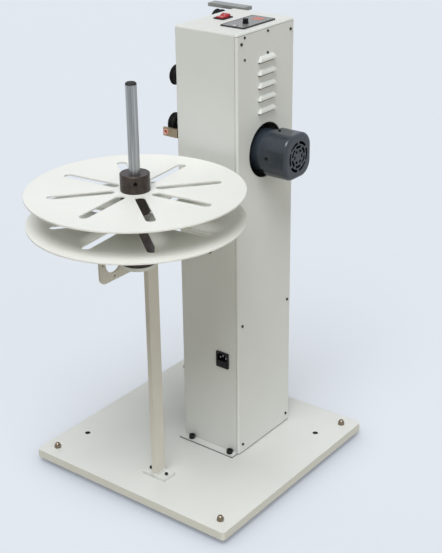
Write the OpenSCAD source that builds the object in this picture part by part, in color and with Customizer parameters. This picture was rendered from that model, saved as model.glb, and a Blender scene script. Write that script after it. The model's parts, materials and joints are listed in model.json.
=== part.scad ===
// Wire pay-off machine: a column with a feed motor, and a level two-disc reel on a post
// Millimetres, Z up, origin on the floor under the middle of the machine's outline
// The reel stands on the -Y side, the motor looks out of +X, the wire runs along the -X face

/* [Base] */
// Side of the square base plate
base_side = 500; // [460:5:560]
// Thickness of the base plate
base_t = 18; // [12:1:25]
// Corner radius of the base plate
base_r = 7; // [4:1:30]
// Distance of each foot stud from the edges of the plate
foot_inset = 31; // [25:1:45]
// Diameter of a rubber foot
foot_d = 40; // [30:1:50]
// Height of a rubber foot
foot_h = 12; // [8:1:20]
// Diameter of a foot stud
stud_d = 8; // [6:1:9]
// Width across the flats of a cap nut
nut_af = 13; // [12:1:19]
// Height of the hexagon of a cap nut
nut_h = 5; // [4:0.5:8]
// Diameter of an anchor hole
anchor_d = 12; // [8:1:16]
// Distance of the anchor holes from the middle of the plate, along X
anchor_x = 200; // [180:1:208]
// Distance of the anchor holes from the middle of the plate, along Y
anchor_y = 147; // [130:1:160]
// Offset of the pair of anchor holes from the middle of the plate, along X
anchor_mid_x = -7; // [-10:1:10]
// Offset of the pair of anchor holes from the middle of the plate, along Y
anchor_mid_y = 8; // [-10:1:10]

/* [Column] */
// Width of the column along X
col_w = 146; // [136:1:170]
// Depth of the column along Y
col_d = 185; // [175:1:215]
// Height of the column above the base plate
col_h = 892; // [850:1:960]
// Place of the column from the middle of the base, along X
col_off_x = 39; // [20:1:60]
// Place of the column from the middle of the base, along Y
col_off_y = 78; // [60:1:90]
// Thickness of the folded sheet
sheet_t = 2; // [1.5:0.1:2.5]
// Outer radius of the folds
bend_r = 4.5; // [3:0.1:4.9]
// Reach of the front foot flange
flange_out = 17; // [16:1:26]
// Thickness of the foot flanges
flange_t = 3; // [2:0.5:5]
// Diameter of the column bolts
col_bolt_d = 8; // [6:1:9]
// Distance between the two column bolts of one flange
col_bolt_span = 101; // [80:1:106]
// Offset of the column bolts from the column's middle, along X
col_bolt_off = 4; // [0:1:6]
// Width of the lips that carry the side cover
lip_w = 18; // [16:0.5:19]
// Gap round the side cover
cover_gap = 0.5; // [0.3:0.1:1.5]
// Depth of the side cover's folded edges
cover_lip = 5; // [5:0.1:8]
// Distance of the cover screws from the sides of the column
cover_screw_in = 13.5; // [11:0.5:14]
// Distance of the cover screws from the ends of the column
cover_screw_end = 20.5; // [15:0.5:40]
// Height of the middle cover screws above the base plate
cover_screw_mid = 299; // [200:1:400]
// Diameter of the small panel screws
panel_screw_d = 3; // [2.5:0.5:4]
// Diameter of the screws that hold the control board
board_screw_d = 2.5; // [2:0.5:3]
// Diameter of the screws in the front face
face_screw_d = 5; // [3:0.5:6]

/* [Louvres] */
// Number of louvres in the side cover
louvre_n = 5; // [3:1:6]
// Length of a louvre
louvre_l = 55; // [40:1:80]
// Height of a louvre
louvre_h = 10; // [8:0.5:12]
// How far a louvre stands out
louvre_out = 7; // [4:0.5:8]
// Distance from one louvre to the next
louvre_pitch = 24.7; // [20:0.1:28]
// Distance of the first louvre's open edge from the column's top
louvre_down = 64; // [55:1:75]

/* [Controls] */
// Width of the speed controller's frame
ctrl_w = 55.5; // [54:0.5:66]
// Length of the speed controller's frame
ctrl_l = 102.5; // [92:0.5:110]
// Height of the speed controller's frame above the column
ctrl_t = 2.5; // [2.5:0.5:6]
// Depth of the speed controller inside the column
ctrl_deep = 52; // [40:1:60]
// Distance of the speed controller from the column's middle, along X
ctrl_off = 30.5; // [29:0.5:34]
// Diameter of the speed knob
knob_d = 10.5; // [10:0.5:18]
// Height of the speed knob
knob_h = 9; // [8:0.5:14]
// Travel of the run slider
slider_travel = 4; // [3:0.5:6]
// Width of the power switch frame
switch_w = 25; // [22:0.5:28]
// Length of the power switch frame
switch_l = 32; // [28:0.5:36]
// Tilt of the rocker from level
rocker_tilt = 9; // [6:0.5:11]

/* [Mains inlet] */
// Width of the inlet's frame
inlet_w = 31; // [30:0.5:34]
// Height of the inlet's frame
inlet_h = 35; // [34:0.5:38]
// Place of the inlet from the column's middle, along X
inlet_off = 33; // [25:1:38]
// Height of the inlet's middle above the base plate
inlet_up = 216; // [150:1:300]

/* [Motor] */
// Side of the square gearbox and motor flange
motor_side = 90; // [86:1:94]
// Length of the gearbox
gearbox_l = 65; // [55:1:72]
// Diameter of the round motor body
motor_d = 83.8; // [80:0.1:86]
// How far the motor stands out of the column
motor_out = 76; // [72:1:84]
// Distance of the motor's axis below the column's top
motor_down = 241; // [225:1:280]
// Diameter of the hole round the motor
motor_hole_d = 109; // [100:1:114]
// Length of the fan cover
fan_cover_l = 52; // [48:1:58]
// Radius of the fan cover's four corners
fan_corner = 30; // [18:1:32]
// Radius of the fan cover's front edge
fan_edge = 7; // [5:0.5:8]
// Wall of the fan cover
fan_wall = 2; // [1.5:0.1:2.5]
// Diameter of the cooling fan
fan_d = 70; // [50:1:74]
// Offset of the output shaft below the motor's axis
gear_drop = 18; // [14:0.5:20]
// Diameter of the output shaft
shaft_d = 15; // [12:1:18]

/* [Wire run] */
// Distance of the wire plane from the working face
wire_off = 28; // [27:1:34]
// Diameter of the drive wheel over its tyre
drive_d = 90; // [70:1:94]
// Width of the drive wheel
drive_w = 20; // [14:1:24]
// Thickness of the tyre
tyre_t = 6; // [4:0.5:8]
// Diameter of a guide pulley
pulley_d = 40; // [34:1:44]
// Width of a guide pulley
pulley_w = 14; // [12:1:16]
// Depth of the pulley's groove
groove = 5; // [3:0.5:6]
// Diameter of a pulley's journal
journal_d = 12; // [8:1:14]
// Entry pulley, distance from the front of the column
entry_in = 33.5; // [31:0.5:36]
// Entry pulley, distance below the column's top
entry_down = 203; // [190:1:205]
// Rise pulley, distance from the front of the column
rise_in = 42.5; // [34:0.5:60]
// Rise pulley, distance below the column's top
rise_down = 109; // [80:1:140]
// Exit pulley, distance from the back of the column
exit_in = 10.5; // [10:0.5:20]
// Exit pulley, distance below the column's top
exit_down = 24; // [24:1:40]
// Height of the bar that carries the entry eyelet
bar_h = 17; // [15:0.5:20]
// Thickness of the eyelet bar
bar_t = 6; // [5:0.5:6.5]
// Outer diameter of the eyelet
eyelet_d = 10.4; // [9:0.2:11]

/* [Dancer] */
// Length of the dancer arm between its axes
arm_l = 200; // [150:1:240]
// Width of the dancer arm
arm_w = 20; // [18:1:24]
// Thickness of the dancer arm
arm_t = 6; // [5:0.5:8]
// Angle of the resting arm below level
arm_rest = 55; // [45:1:60]
// Swing of the arm
arm_swing = 90; // [70:1:95]
// Pivot, distance behind the front of the column
dancer_in = 124; // [115:1:130]
// Pivot, height above the base plate
dancer_up = 450; // [300:1:500]

/* [Reel] */
// Diameter of the discs
disc_d = 395; // [360:1:420]
// Thickness of the discs
disc_t = 3; // [2:0.5:4]
// Clear height between the two discs
disc_gap = 53; // [50:1:70]
// Height of the lower disc's top above the base plate
disc_up = 596; // [560:1:640]
// Gap between the discs and the column
reel_gap = 30; // [15:1:45]
// Reel axis from the column's middle, along X
reel_off = 17; // [10:0.5:24]
// Number of slots in a disc
slot_n = 8; // [6:1:10]
// Width of a slot
slot_w = 18; // [12:1:20]
// Inner end of the slots
slot_in = 37; // [35:1:60]
// Outer end of the slots
slot_out = 157; // [120:1:165]
// Turn of the slot pattern
slot_turn = 6; // [0:1:44]
// Diameter of the spindle
spindle_d = 20; // [16:1:24]
// Height of the spindle's top above the upper disc
spindle_up = 195; // [120:1:260]
// Diameter of the two collars
collar_d = 54; // [50:1:58]
// Diameter of the lower hub and the bearing housing
housing_d = 61; // [56:1:62]
// Height of the clamp collar on the upper disc
collar_h = 32; // [20:1:36]
// Height of the stop collar under the upper disc
stop_h = 38; // [30:1:45]
// Height of the lower hub
hub_h = 12; // [10:1:16]
// Height of the bearing housing
housing_h = 68; // [56:1:80]
// Outer diameter of the ball bearings
bearing_d = 42; // [38:1:47]
// Width of the ball bearings
bearing_w = 12; // [10:1:15]

/* [Post] */
// Thickness of the post
post_t = 10; // [8:1:12]
// Width of the post
post_w = 30; // [26:1:40]
// Distance of the post's middle from the reel axis, along Y
post_back = 74; // [68:1:80]
// Thickness of the post's head
head_plate_t = 4; // [4:0.5:8]
// Reach of the post's head past the reel axis
head_out = 70; // [63:1:76]
// Height of the post's head
head_h = 74; // [73:1:80]
// Rise of the head's lower edge from the post
head_rise = 16; // [8:1:20]
// Diameter of the large hole in the post's head
head_hole_d = 44; // [36:1:46]
// Distance of the large hole from the head's end
head_hole_in = 37.5; // [34:0.5:38]
// Height of the large hole above the head's lower edge
head_hole_up = 37; // [36:0.5:38]
// Drop of the head below the bearing seat
head_drop = 26; // [22:1:28]
// Length of the post's foot
foot_l = 58; // [54:1:80]
// Width of the post's foot
foot_w = 34; // [30:1:44]
// Thickness of the post's foot
post_foot_t = 6; // [4:0.5:10]
// Distance between the post's screws
post_screw_span = 41; // [38:1:44]
// Diameter of the bearing seat
seat_d = 65; // [62:1:70]
// Thickness of the bearing seat
seat_t = 6; // [4:0.5:8]

/* [Fits] */
// Radial clearance of a turning fit
run_gap = 0.05; // [0.02:0.01:0.1]
// Radial clearance of a fixed pin or screw
fit_gap = 0.1; // [0.05:0.05:0.2]
// Gap between faces that move past each other
face_gap = 0.3; // [0.2:0.1:0.5]

/* [Hidden] */
$fn = 48;
cut = 1;
paint = [0.86, 0.86, 0.83];
black = [0.06, 0.06, 0.07];
steel = [0.62, 0.63, 0.64];
dark_steel = [0.24, 0.19, 0.17];
motor_grey = [0.28, 0.31, 0.34];

// Middle of the base plate: the whole machine's outline is centred on the origin
reach_x = max(base_side / 2, col_off_x + reel_off + disc_d / 2);
reach_front = min(-base_side / 2, col_off_y - col_d / 2 - reel_gap - disc_d);
reach_back = max(base_side / 2, col_off_y - col_d / 2 + dancer_in + arm_l * cos(arm_rest) + pulley_d / 2);
base_x = -(reach_x - base_side / 2) / 2;
base_y = -(reach_front + reach_back) / 2;
col_x = base_x + col_off_x;
col_y = base_y + col_off_y;

// Levels and faces
base_z = foot_h;
base_top = base_z + base_t;
col_top = base_top + col_h;
face_in = col_y - col_d / 2;
face_out = col_y + col_d / 2;
face_work = col_x - col_w / 2;
face_motor = col_x + col_w / 2;
wall_in = face_in + sheet_t;
wall_work = face_work + sheet_t;
seam = bend_r + 0.5;
seam_x = face_motor - cover_lip - cover_gap;
stud_at = base_side / 2 - foot_inset;
nut_neck = 1;
stud_top = base_top + nut_h + nut_neck;
flange_bolt_y = face_in - flange_out / 2;
rear_flange = 30;
rear_bolt_y = face_out - sheet_t - rear_flange / 2;

// Side cover and what it carries
cover_z0 = base_top + cover_gap + 1.5;
cover_z1 = col_top - seam - cover_gap;
cover_screw_y = [face_in + cover_screw_in, face_out - cover_screw_in];
cover_screw_z = [base_top + cover_screw_end, base_top + cover_screw_mid, col_top - cover_screw_end];
board_y = [face_in + lip_w + 5.5, face_in + lip_w + 78.5];
board_z = [col_top - 51, col_top - 10];
standoff_l = 6;
board_t = 1.6;
board_edge = 5;

// Motor and gearbox along X
motor_z = col_top - motor_down;
gear_x0 = wall_work;
gear_x1 = gear_x0 + gearbox_l;
motor_end = face_motor + motor_out;
fan_x0 = motor_end - fan_cover_l;
motor_x1 = fan_x0 + 14;
fan_side = motor_d + 2 * fit_gap + 2 * fan_wall;
drive_z = motor_z - gear_drop;
boss_d = 34;
gear_bolt_d = 6;
gear_bolt_l = 30;
gear_bolt_at = motor_side / 2 - 8;
rotor_d = 10;

// Wire plane and its pulleys: each place is [y, z]
wire_x = face_work - wire_off;
entry_at = [face_in + entry_in, col_top - entry_down];
rise_at = [face_in + rise_in, col_top - rise_down];
exit_at = [face_out - exit_in, col_top - exit_down];
guide_places = [entry_at, rise_at, exit_at];
stem_d = 8;
head_t = 4;
eyelet_z = entry_at[1] - 10;
keeper_d = 5;
keeper_at = [rise_at[0] + 17, rise_at[1] + 18];
exit_plate_w = 24;
exit_plate_t = 7;
exit_leg = 28;
exit_reach = 36;

// Dancer, with the arm's places as [y, z]
dancer_at = [face_in + dancer_in, base_top + dancer_up];
arm_x1 = wire_x + pulley_w / 2 + 2 + arm_t;
arm_x0 = arm_x1 - arm_t;
dancer_end = dancer_at + arm_l * [cos(arm_rest), -sin(arm_rest)];
dancer_shaft_d = 12;
boss_len = face_work - face_gap - arm_x1;
peg_d = 12;
peg_r = 58;
peg_side = arm_w / 2 + peg_d / 2 + face_gap;
peg_low = dancer_at + peg_r * [cos(arm_rest), -sin(arm_rest)]
  - peg_side * [sin(arm_rest), cos(arm_rest)];
arm_top = arm_swing - arm_rest;
peg_high = dancer_at + peg_r * [cos(arm_top), sin(arm_top)]
  + peg_side * [-sin(arm_top), cos(arm_top)];

// Reel levels and axis
reel_x = col_x + reel_off;
reel_y = face_in - reel_gap - disc_d / 2;
low_top = base_top + disc_up;
low_z = low_top - disc_t;
up_z = low_top + disc_gap;
up_top = up_z + disc_t;
hub_z = low_z - hub_h;
housing_top = hub_z - face_gap;
housing_z = housing_top - housing_h;
seat_z = housing_z - seat_t;
spindle_top = up_top + spindle_up;
spindle_z = housing_z + 4;
hub_boss_d = 32;

// Post beside the bearing housing
post_x1 = reel_x - housing_d / 2 - fit_gap;
post_x0 = post_x1 - post_t;
post_mid = (post_x0 + post_x1) / 2;
head_x0 = post_x1 - head_plate_t;
post_y = reel_y + post_back;
post_y0 = post_y - post_w / 2;
post_y1 = post_y + post_w / 2;
post_z = base_top + post_foot_t;
head_y0 = reel_y - head_out;
head_z0 = seat_z - head_drop;
head_z1 = head_z0 + head_h;
head_hole = [head_y0 + head_hole_in, head_z0 + head_hole_up];
head_r = 14;
post_screw_d = 4;

// Controls on the column's top
ctrl_x = col_x + ctrl_off;
ctrl_y = col_y;
ctrl_rim = 3;
face_w = ctrl_w - 2 * ctrl_rim;
face_l = ctrl_l - 2 * ctrl_rim;
face_t = 1;
ctrl_top = col_top + ctrl_t;
knob_x = ctrl_x + 6;
knob_y = ctrl_y - 16;
slider_x = ctrl_x + 3;
slider_y = ctrl_y - ctrl_l / 2 + 7.5;
slider_w = 6;
slider_l = 5;
slider_up = 1;
switch_x = col_x - 33;
switch_y = col_y + 6.5;
switch_t = 2;
rocker_w = switch_w - 8;
rocker_r = switch_l / 2 - 3.5;
pivot_z = col_top + 1;
switch_deep = 22;

// Inlet on the front of the column
inlet_x = col_x + inlet_off;
inlet_z = base_top + inlet_up;
inlet_t = 3;
inlet_deep = 26;
plug_w = inlet_w - 7;
plug_h = 17;
plug_z = inlet_z + inlet_h / 2 - 3 - plug_h / 2;
fuse_w = inlet_w - 8;
fuse_h = 9;
fuse_z = inlet_z - inlet_h / 2 + 2.5 + fuse_h / 2;
fuse_deep = 22;
face_screws = [[col_x - 15, 492], [col_x + 4, 452]];

// Shared shapes

module rounded_rect(w, d, r) {
  square([w - 2 * r, d], center = true);
  square([w, d - 2 * r], center = true);
  for (sx = [-1, 1], sy = [-1, 1])
    translate([sx * (w / 2 - r), sy * (d / 2 - r)]) circle(r);
}

// A folded box, open shape below, with rounded upright and upper edges
module bent_box(w, d, h, r) {
  linear_extrude(h - r) rounded_rect(w, d, r);
  translate([0, 0, h - r]) linear_extrude(r) square([w - 2 * r, d - 2 * r], center = true);
  for (s = [-1, 1]) {
    translate([s * (w / 2 - r), 0, h - r]) rotate([90, 0, 0])
      cylinder(r = r, h = d - 2 * r, center = true);
    translate([0, s * (d / 2 - r), h - r]) rotate([0, 90, 0])
      cylinder(r = r, h = w - 2 * r, center = true);
    for (t = [-1, 1])
      translate([s * (w / 2 - r), t * (d / 2 - r), h - r]) sphere(r);
  }
}

// A square block with round corners of radius r and a rounded upper edge of radius e
module soft_square(side, h, r, e) {
  for (a = [0, 90]) rotate(a) rotate([90, 0, 0]) linear_extrude(side - 2 * r, center = true) {
    translate([-side / 2, 0]) square([side, h - e]);
    translate([e - side / 2, 0]) square([side - 2 * e, h]);
    for (s = [-1, 1]) translate([s * (side / 2 - e), h - e]) circle(e);
  }
  for (sx = [-1, 1], sy = [-1, 1]) translate([sx * (side / 2 - r), sy * (side / 2 - r), 0])
    rotate_extrude() {
      square([r, h - e]);
      square([r - e, h]);
      translate([r - e, h - e]) circle(e);
    }
}

// Round bar from one place to another along X, Y or Z
module rod_x(x0, x1, y, z, d) {
  translate([x0, y, z]) rotate([0, 90, 0]) cylinder(d = d, h = x1 - x0);
}
module rod_y(y0, y1, x, z, d) {
  translate([x, y1, z]) rotate([90, 0, 0]) cylinder(d = d, h = y1 - y0);
}
module rod_z(z0, z1, x, y, d) {
  translate([x, y, z0]) cylinder(d = d, h = z1 - z0);
}

// Socket bolt along Z with the underside of its head at zero
module socket_bolt(d, l) {
  difference() {
    cylinder(d = 1.6 * d, h = d);
    translate([0, 0, d / 2]) cylinder(d = 0.9 * d, h = d, $fn = 6);
  }
  translate([0, 0, -l]) cylinder(d = d, h = l);
}

// Pan screw along Z with a cross recess and the underside of its head at zero
module pan_screw(d, l) {
  difference() {
    cylinder(d = 1.9 * d, h = 0.6 * d);
    for (a = [0, 90]) rotate(a) translate([-0.6 * d, -0.13 * d, 0.25 * d]) cube([1.2 * d, 0.26 * d, d]);
  }
  translate([0, 0, -l]) cylinder(d = d, h = l);
}

// Base

module base_corners() {
  for (sx = [-1, 1], sy = [-1, 1]) translate([base_x + sx * stud_at, base_y + sy * stud_at, 0]) children();
}

module base_plate() {
  color(paint) difference() {
    translate([base_x, base_y, base_z]) linear_extrude(base_t) rounded_rect(base_side, base_side, base_r);
    base_corners() rod_z(base_z - cut, base_top + cut, 0, 0, stud_d + 2 * fit_gap);
    for (s = [-1, 1]) {
      rod_z(base_z - cut, base_top + cut, base_x + anchor_mid_x + s * anchor_x,
        base_y + anchor_mid_y + s * anchor_y, anchor_d);
      for (y = [flange_bolt_y, rear_bolt_y])
        rod_z(base_z - cut, base_top + cut, col_x + col_bolt_off + s * col_bolt_span / 2, y,
          col_bolt_d + 2 * fit_gap);
      rod_z(base_z - cut, base_top + cut, post_mid + s * post_screw_span / 2, post_y,
        post_screw_d + 2 * fit_gap);
    }
  }
}

module rubber_feet() {
  color(black) base_corners() difference() {
    rotate_extrude() polygon([
      [0, 0], [foot_d / 2 - 1.5, 0], [foot_d / 2, 1.5], [foot_d / 2 - 4, foot_h], [0, foot_h]
    ]);
    translate([0, 0, 4]) cylinder(d = stud_d + 2 * fit_gap, h = foot_h);
  }
}

module foot_studs() {
  color(steel) base_corners() rod_z(4, stud_top, 0, 0, stud_d);
}

module cap_nuts() {
  dome_r = nut_af / 2 - 0.5;
  color(steel) base_corners() difference() {
    union() {
      rod_z(base_top, base_top + nut_h, 0, 0, nut_af / cos(30), $fn = 6);
      rod_z(base_top, stud_top, 0, 0, 2 * dome_r);
      translate([0, 0, stud_top]) intersection() {
        sphere(dome_r);
        cylinder(r = dome_r + cut, h = dome_r + cut);
      }
    }
    rod_z(base_top - cut, stud_top + fit_gap, 0, 0, stud_d + 2 * fit_gap);
  }
}

// Column

module column_shell() {
  color(paint) difference() {
    union() {
      difference() {
        translate([col_x, col_y, base_top]) bent_box(col_w, col_d, col_h, bend_r);
        translate([col_x, col_y, base_top - cut])
          linear_extrude(col_h - sheet_t + cut)
            rounded_rect(col_w - 2 * sheet_t, col_d - 2 * sheet_t, bend_r - sheet_t);
        translate([seam_x, face_in - cut, base_top - cut])
          cube([col_w, col_d + 2 * cut, cover_z1 + cover_gap - base_top + cut]);
      }
      for (s = [0, 1]) translate([0, col_y, base_top]) mirror([0, s, 0]) cover_seat();
      translate([face_work, face_in - flange_out, base_top])
        cube([seam_x - face_work, flange_out + sheet_t / 2, flange_t]);
      translate([face_work + sheet_t / 2, face_out - sheet_t - rear_flange, base_top])
        cube([seam_x - face_work - sheet_t / 2, rear_flange + sheet_t / 2, flange_t]);
    }
    column_holes();
  }
}

// Strip inside the wall, stepped in past the cover's folded edge, with the lip that takes its screws
module cover_seat() {
  strip = 8;
  seat_h = col_h - sheet_t / 2;
  seat_y = col_d / 2 - 2 * sheet_t - face_gap;
  corner_r = bend_r - sheet_t + 0.5;
  translate([seam_x - strip, seat_y, 0]) cube([strip, 1.5 * sheet_t + face_gap, seat_h]);
  difference() {
    union() {
      translate([seam_x - strip, seat_y, 0]) cube([face_motor - sheet_t - seam_x + strip, sheet_t, seat_h]);
      translate([face_motor - 2 * sheet_t, col_d / 2 - lip_w, 0])
        cube([sheet_t, lip_w - sheet_t - face_gap, seat_h]);
    }
    translate([face_motor - sheet_t - corner_r, seat_y + sheet_t - corner_r, -cut]) difference() {
      cube([corner_r + cut, corner_r + cut, seat_h + 2 * cut]);
      translate([0, 0, -cut]) cylinder(r = corner_r, h = seat_h + 4 * cut);
    }
  }
}

module column_holes() {
  for (s = [-1, 1], y = [flange_bolt_y, rear_bolt_y])
    rod_z(base_top - cut, base_top + flange_t + cut, col_x + col_bolt_off + s * col_bolt_span / 2, y,
      col_bolt_d + 2 * fit_gap);
  cover_screw_places() cylinder(d = panel_screw_d + 2 * fit_gap, h = 20, center = true);
  translate([switch_x, switch_y, col_top - sheet_t - cut])
    linear_extrude(sheet_t + 2 * cut)
      square([switch_w - 3 + 2 * fit_gap, switch_l - 4 + 2 * fit_gap], center = true);
  translate([ctrl_x, ctrl_y, col_top - sheet_t - cut])
    linear_extrude(sheet_t + 2 * cut)
      square([face_w - 2 + 2 * fit_gap, face_l - 2 + 2 * fit_gap], center = true);
  translate([inlet_x, face_in, inlet_z])
    cube([inlet_w - 4 + 2 * fit_gap, 4 * sheet_t, inlet_h - 4 + 2 * fit_gap], center = true);
  for (p = face_screws)
    rod_y(face_in - cut, wall_in + cut, p[0], base_top + p[1], face_screw_d + 2 * fit_gap);
  rod_x(face_work - cut, wall_work + cut, col_y, drive_z, boss_d + 2 * fit_gap);
  gear_bolt_places() cylinder(d = gear_bolt_d + 2 * fit_gap, h = 20, center = true);
  for (p = guide_places)
    rod_x(face_work - cut, wall_work + cut, p[0], p[1], stem_d + 2 * fit_gap);
  for (p = [peg_low, peg_high])
    rod_x(face_work - cut, wall_work + cut, p[0], p[1], gear_bolt_d + 2 * fit_gap);
  rod_x(face_work - cut, wall_work + cut, keeper_at[0], keeper_at[1], keeper_d + 2 * fit_gap);
  rod_x(face_work - cut, wall_work + cut, dancer_at[0], dancer_at[1], dancer_shaft_d + 8);
  eyelet_screw_places() cylinder(d = panel_screw_d + 2 * fit_gap, h = 20, center = true);
  exit_screw_places() cylinder(d = panel_screw_d + 2 * fit_gap, h = 20, center = true);
}

module cover_screw_places() {
  for (y = cover_screw_y, z = cover_screw_z)
    translate([face_motor, y, z]) rotate([0, 90, 0]) children();
}

module board_places() {
  for (y = board_y, z = board_z)
    translate([face_motor, y, z]) rotate([0, 90, 0]) children();
}

// One louvre over its slot: a hooded bulge with sloping ends, open below
module louvre_hood() {
  hood_c = (louvre_out * louvre_out - louvre_h * louvre_h) / (2 * louvre_out);
  hood_r = louvre_out - hood_c;
  slope = 8;
  module bulge(grow, l) {
    intersection() {
      translate([hood_c, 0, 0]) rotate([90, 0, 0]) cylinder(r = hood_r - grow, h = l, center = true);
      translate([-sheet_t, 0, 0]) rotate([90, 0, 90]) linear_extrude(louvre_out + 2 * sheet_t) polygon([
        [-l / 2, 0], [l / 2, 0], [l / 2 - slope, louvre_h], [-l / 2 + slope, louvre_h]
      ]);
    }
  }
  difference() {
    bulge(0, louvre_l);
    translate([0, 0, -0.01]) bulge(1.2, louvre_l - 3);
  }
}

module side_cover() {
  louvre_z = [for (k = [0 : louvre_n - 1]) col_top - louvre_down - k * louvre_pitch];
  cover_h = cover_z1 - cover_z0;
  color(paint) {
    difference() {
      translate([col_x, col_y, cover_z0]) linear_extrude(cover_h) rounded_rect(col_w, col_d, bend_r);
      translate([col_x, col_y, cover_z0 - cut]) linear_extrude(cover_h + 2 * cut)
        rounded_rect(col_w - 2 * sheet_t, col_d - 2 * sheet_t, bend_r - sheet_t);
      translate([face_work - cut, face_in - cut, cover_z0 - cut])
        cube([col_w - cover_lip + cut, col_d + 2 * cut, cover_h + 2 * cut]);
      rod_x(face_motor - sheet_t - cut, face_motor + cut, col_y, motor_z, motor_hole_d);
      cover_screw_places() cylinder(d = panel_screw_d + 2 * fit_gap, h = 20, center = true);
      board_places() cylinder(d = board_screw_d + 2 * fit_gap, h = 20, center = true);
      for (z = louvre_z)
        translate([face_motor - sheet_t - cut, col_y - louvre_l / 2 + 9, z + 0.5])
          cube([sheet_t + 2 * cut, louvre_l - 18, louvre_h - 3]);
    }
    for (z = louvre_z) translate([face_motor, col_y, z]) louvre_hood();
  }
}

module panel_screws() {
  color(dark_steel) {
    cover_screw_places() pan_screw(panel_screw_d, 2 * sheet_t + 3);
    board_places() pan_screw(board_screw_d, sheet_t + standoff_l);
    for (p = face_screws)
      translate([p[0], face_in, base_top + p[1]]) rotate([90, 0, 0])
        pan_screw(face_screw_d, sheet_t + 4);
    eyelet_screw_places() pan_screw(panel_screw_d, 3 + sheet_t + 4);
  }
}

module column_bolts() {
  color(black)
    for (s = [-1, 1], y = [flange_bolt_y, rear_bolt_y])
      translate([col_x + col_bolt_off + s * col_bolt_span / 2, y, base_top + flange_t])
        socket_bolt(col_bolt_d, flange_t + base_t - 2);
}

// Power switch

module switch_bezel() {
  color(black) difference() {
    union() {
      translate([switch_x, switch_y, col_top]) linear_extrude(switch_t) rounded_rect(switch_w, switch_l, 2);
      translate([switch_x, switch_y, col_top - switch_deep])
        linear_extrude(switch_deep) square([switch_w - 3, switch_l - 4], center = true);
    }
    translate([switch_x, switch_y, col_top - 9])
      linear_extrude(9 + switch_t + cut)
        square([rocker_w + 2 * face_gap, 2 * rocker_r + 2 * face_gap], center = true);
    rod_x(switch_x - rocker_w / 2 - 1 - fit_gap, switch_x + rocker_w / 2 + 1 + fit_gap,
      switch_y, pivot_z, 3 + 2 * run_gap);
  }
}

// The rocker at rest leans towards the front of the machine
module switch_rocker() {
  color([0.75, 0.08, 0.06]) translate([switch_x, switch_y, pivot_z]) rotate([rocker_tilt, 0, 0]) {
    intersection() {
      rotate([90, 0, 90]) linear_extrude(rocker_w, center = true) polygon([
        [-rocker_r, 4.5], [-rocker_r + 4, 4.5], [0, 2.5], [rocker_r - 4, 4.5], [rocker_r, 4.5],
        [rocker_r, -2], [5, -5], [-5, -5], [-rocker_r, -2]
      ]);
      rod_x(-rocker_w, rocker_w, 0, 0, 2 * rocker_r);
    }
    rod_x(-rocker_w / 2 - 1, rocker_w / 2 + 1, 0, 0, 3);
  }
}

// Speed controller

module controller_body() {
  color([0.13, 0.13, 0.14]) difference() {
    union() {
      translate([ctrl_x, ctrl_y, col_top]) linear_extrude(ctrl_t) rounded_rect(ctrl_w, ctrl_l, 3);
      translate([ctrl_x, ctrl_y, col_top - ctrl_deep])
        linear_extrude(ctrl_deep) square([face_w - 2, face_l - 2], center = true);
    }
    translate([ctrl_x, ctrl_y, ctrl_top - face_t])
      linear_extrude(face_t + cut) square([face_w + 2 * fit_gap, face_l + 2 * fit_gap], center = true);
    rod_z(ctrl_top - 14, ctrl_top, knob_x, knob_y, 6 + 2 * run_gap);
    translate([slider_x, slider_y, ctrl_top - 2])
      cube([slider_w + slider_travel + 1, slider_l + 1, 6], center = true);
  }
}

module controller_face() {
  color([0.62, 0.63, 0.64]) difference() {
    translate([ctrl_x, ctrl_y, ctrl_top - face_t]) linear_extrude(face_t)
      square([face_w, face_l], center = true);
    rod_z(ctrl_top - 2 * face_t, ctrl_top + cut, knob_x, knob_y, 7);
    translate([slider_x, slider_y, ctrl_top])
      cube([slider_w + slider_travel + 1, slider_l + 1, 4 * face_t], center = true);
  }
}

module speed_knob() {
  skirt_t = 2;
  color(black) translate([knob_x, knob_y, 0]) difference() {
    union() {
      rod_z(ctrl_top - 13, ctrl_top + 2, 0, 0, 6);
      rod_z(ctrl_top + face_gap, ctrl_top + skirt_t, 0, 0, knob_d + 1);
      rod_z(ctrl_top + skirt_t, ctrl_top + knob_h, 0, 0, knob_d);
    }
    for (a = [0 : 24 : 359])
      rotate(a) translate([knob_d / 2 + 0.4, 0, ctrl_top + skirt_t])
        cylinder(d = 1.8, h = knob_h, $fn = 16);
    translate([-0.5, 1, ctrl_top + knob_h - 0.8]) cube([1, knob_d, 2]);
  }
}

module run_slider() {
  color([0.92, 0.92, 0.9])
    translate([slider_x - slider_travel / 2, slider_y, ctrl_top - 4.5 + (slider_up + 4.5) / 2])
      cube([slider_w, slider_l, slider_up + 4.5], center = true);
}

// Mains inlet with its fuse drawer

module plug_outline() {
  polygon([
    [-plug_w / 2, -plug_h / 2], [plug_w / 2, -plug_h / 2], [plug_w / 2, plug_h / 2 - 5],
    [plug_w / 2 - 5, plug_h / 2], [-plug_w / 2 + 5, plug_h / 2], [-plug_w / 2, plug_h / 2 - 5]
  ]);
}

module inlet_body() {
  color(black) difference() {
    union() {
      translate([inlet_x, face_in, inlet_z]) rotate([90, 0, 0])
        linear_extrude(inlet_t) rounded_rect(inlet_w, inlet_h, 2);
      translate([inlet_x, face_in + inlet_deep / 2, inlet_z])
        cube([inlet_w - 4, inlet_deep, inlet_h - 4], center = true);
    }
    translate([inlet_x, face_in + 16, plug_z]) rotate([90, 0, 0])
      linear_extrude(16 + inlet_t + cut) plug_outline();
    pin_places() cylinder(d = 1, h = 1);
    translate([inlet_x, face_in - inlet_t + fuse_deep / 2, fuse_z])
      cube([fuse_w + 2 * face_gap, fuse_deep + 2 * face_gap, fuse_h + 2 * face_gap], center = true);
  }
}

module pin_places() {
  for (p = [[-7, -2], [0, 2], [7, -2]])
    translate([inlet_x + p[0], face_in + 16, plug_z + p[1]]) rotate([90, 0, 0]) children();
}

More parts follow.
